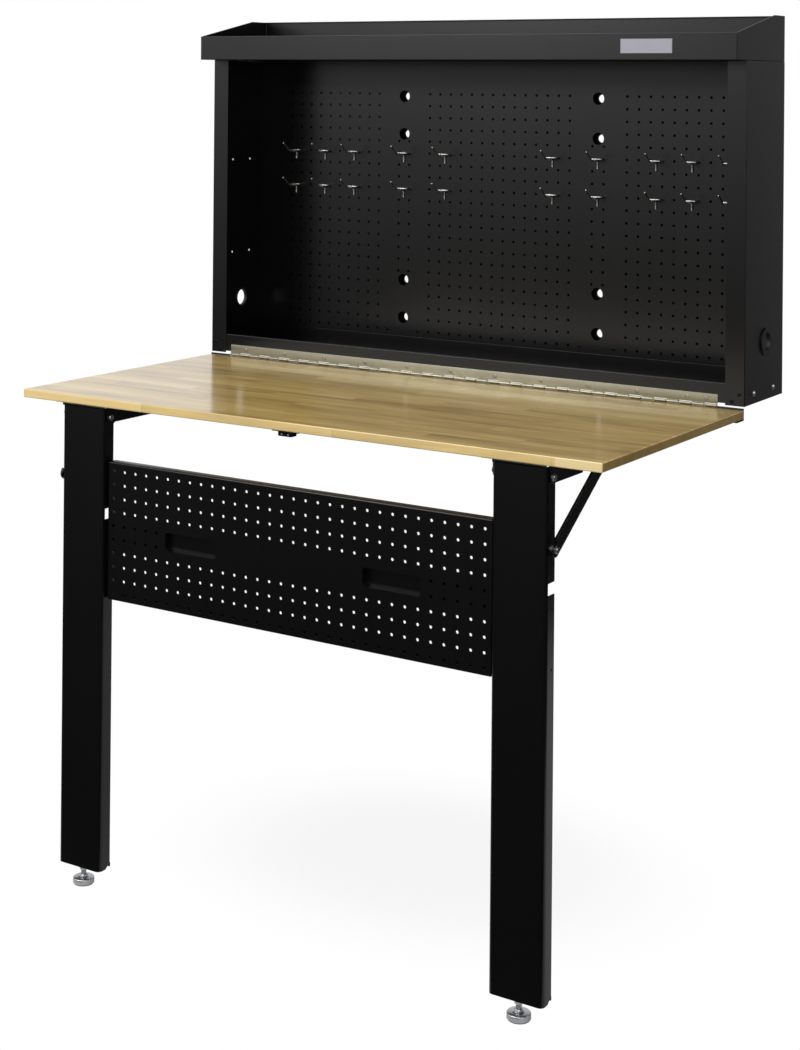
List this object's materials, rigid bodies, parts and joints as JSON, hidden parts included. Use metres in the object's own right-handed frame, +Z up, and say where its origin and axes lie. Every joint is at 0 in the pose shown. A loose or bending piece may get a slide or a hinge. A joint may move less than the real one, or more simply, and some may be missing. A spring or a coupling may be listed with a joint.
{
  "type": "wall mounted folding workbench",
  "caption": "Wall mounted steel cabinet with perforated tool panel, top tray and a hinged wooden worktop on a folding leg frame.",
  "frame": {"origin": "middle of the wall fixing pattern, on the wall plane at the back of the cabinet", "axes": "+Y into the wall, +Z up, +X to the right of someone who faces the bench"},
  "size_m": [1.226, 0.8005, 1.65],
  "materials": {
    "black_powder_coat": "satin black powder coat",
    "black_plastic": "matte black",
    "pale_plate": "plain pale grey",
    "black_rubber": "matte",
    "bright_wire": "bright zinc wire",
    "hinge_steel": "rolled steel",
    "zinc_fasteners": "bright zinc",
    "dark_fasteners": "black",
    "zinc_feet": "bright zinc",
    "lacquered_beech": "clear gloss lacquer on jointed beech staves"
  },
  "bodies": {
    "cabinet": {"left_side_panel": "black_powder_coat", "right_side_panel": "black_powder_coat", "bottom_panel": "black_powder_coat", "top_tray": "black_powder_coat", "blank_plate": "pale_plate", "perforated_back_panel": "black_powder_coat", "back_plate": "black_powder_coat", "left_wall_rail": "black_powder_coat", "right_wall_rail": "black_powder_coat", "left_cable_grommet": "black_rubber", "right_cable_grommet": "black_rubber", "upper_hooks": "bright_wire", "lower_hooks": "bright_wire", "cabinet_side_screws": "zinc_fasteners", "cabinet_flange_screws": "dark_fasteners", "tool_panel_screws": "zinc_fasteners", "hinge_cabinet_leaf": "hinge_steel", "hinge_pin": "hinge_steel", "hinge_cabinet_screws": "zinc_fasteners"},
    "worktop": {"worktop_board": "lacquered_beech", "rear_edge_angle": "black_powder_coat", "hinge_worktop_leaf": "hinge_steel", "front_catch": "black_powder_coat", "left_outer_leg_bracket": "black_powder_coat", "left_inner_leg_bracket": "black_powder_coat", "right_outer_leg_bracket": "black_powder_coat", "right_inner_leg_bracket": "black_powder_coat", "leg_pivot_bolts": "zinc_fasteners", "leg_pivot_nuts": "zinc_fasteners", "stay_pivot_bolts": "zinc_fasteners"},
    "leg_frame": {"left_leg": "black_powder_coat", "right_leg": "black_powder_coat", "left_foot_cap": "black_plastic", "right_foot_cap": "black_plastic", "foot_nuts": "zinc_fasteners", "stay_studs": "zinc_fasteners", "lower_perforated_panel": "black_powder_coat", "left_handle_liner": "black_powder_coat", "right_handle_liner": "black_powder_coat", "stiffener_rail": "black_powder_coat", "lower_panel_screws": "zinc_fasteners"},
    "left_stay": {"left_stay": "black_powder_coat"},
    "right_stay": {"right_stay": "black_powder_coat"},
    "left_foot": {"left_foot_pad": "zinc_feet", "left_foot_stem": "zinc_feet"},
    "right_foot": {"right_foot_pad": "zinc_feet", "right_foot_stem": "zinc_feet"}
  },
  "joints": [
    {"name": "worktop_fold", "type": "hinge", "parent": "cabinet", "child": "worktop", "pos_m": [0, -0.1964, -0.3256], "axis": [-1, 0, 0], "range_deg": [0, 90]},
    {"name": "leg_fold", "type": "hinge", "parent": "worktop", "child": "leg_frame", "pos_m": [0, -0.778, -0.366], "axis": [1, 0, 0], "range_deg": [0, 90]},
    {"name": "left_stay_fold", "type": "hinge", "parent": "worktop", "child": "left_stay", "pos_m": [-0.5175, -0.598, -0.366], "axis": [1, 0, 0], "range_deg": [0, 147.4]},
    {"name": "right_stay_fold", "type": "hinge", "parent": "worktop", "child": "right_stay", "pos_m": [0.5175, -0.598, -0.366], "axis": [1, 0, 0], "range_deg": [0, 147.4]},
    {"name": "left_foot_level", "type": "slide", "parent": "leg_frame", "child": "left_foot", "axis": [0, 0, 1], "range_m": [-0.008, 0.008]},
    {"name": "right_foot_level", "type": "slide", "parent": "leg_frame", "child": "right_foot", "axis": [0, 0, 1], "range_m": [-0.008, 0.008]}
  ],
  "couplings": [
    {"joint": "left_stay_fold", "follows": "leg_fold", "ratio": 1.6356},
    {"joint": "right_stay_fold", "follows": "leg_fold", "ratio": 1.6356}
  ]
}
